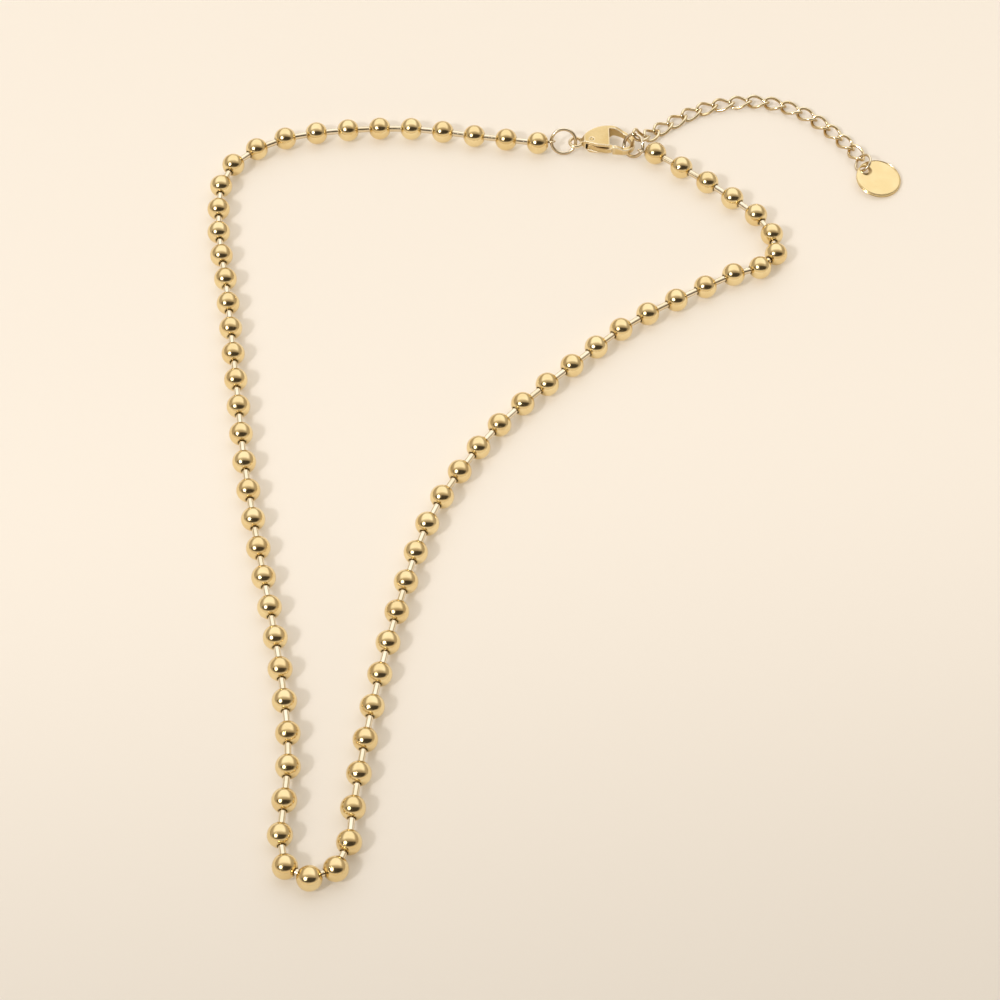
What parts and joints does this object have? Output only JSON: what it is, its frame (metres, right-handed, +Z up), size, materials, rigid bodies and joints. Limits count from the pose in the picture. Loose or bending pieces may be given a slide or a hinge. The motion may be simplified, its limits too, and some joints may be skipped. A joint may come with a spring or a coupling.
{
  "type": "ball chain necklace",
  "caption": "Gold-tone ball chain necklace, fastened by a lobster clasp and lying flat, with a short extension chain that ends in a plain round tag.",
  "frame": {"origin": "on the surface that the necklace lies on, below the middle of its plan", "axes": "+Z up from the surface, +Y towards the clasp at the far side, +X to the right, where the extension chain and tag lie"},
  "size_m": [0.1239, 0.1644, 0.0043],
  "materials": {
    "ball_gold": "polished gold-tone plating on hollow rolled balls",
    "rod_gold": "polished gold-tone plating on short rods",
    "wire_gold": "polished gold-tone plated round wire",
    "clasp_gold": "gold-tone plated casting, tumbled smooth",
    "lever_gold": "gold-tone plated stamping, tumbled smooth",
    "link_gold": "polished gold-tone plated wire links",
    "tag_gold": "gold-tone plated disc, polished nearly to a mirror"
  },
  "bodies": {
    "necklace": {"balls": "ball_gold", "rods": "rod_gold", "left_eye": "wire_gold", "right_eye": "wire_gold", "clasp_ring": "wire_gold", "end_ring": "wire_gold", "clasp_body": "clasp_gold", "clasp_pin": "lever_gold", "extension_links": "link_gold", "tag_ring": "wire_gold", "tag": "tag_gold"},
    "lever": {"clasp_lever": "lever_gold"}
  },
  "joints": [
    {"name": "clasp_lever_hinge", "type": "hinge", "parent": "necklace", "child": "lever", "pos_m": [0.0067, 0.06985, 0.00135], "axis": [0, 0, 1], "range_deg": [0, 22], "stiffness_Nm_per_rad": 0.001, "springref_deg": -11.46}
  ]
}
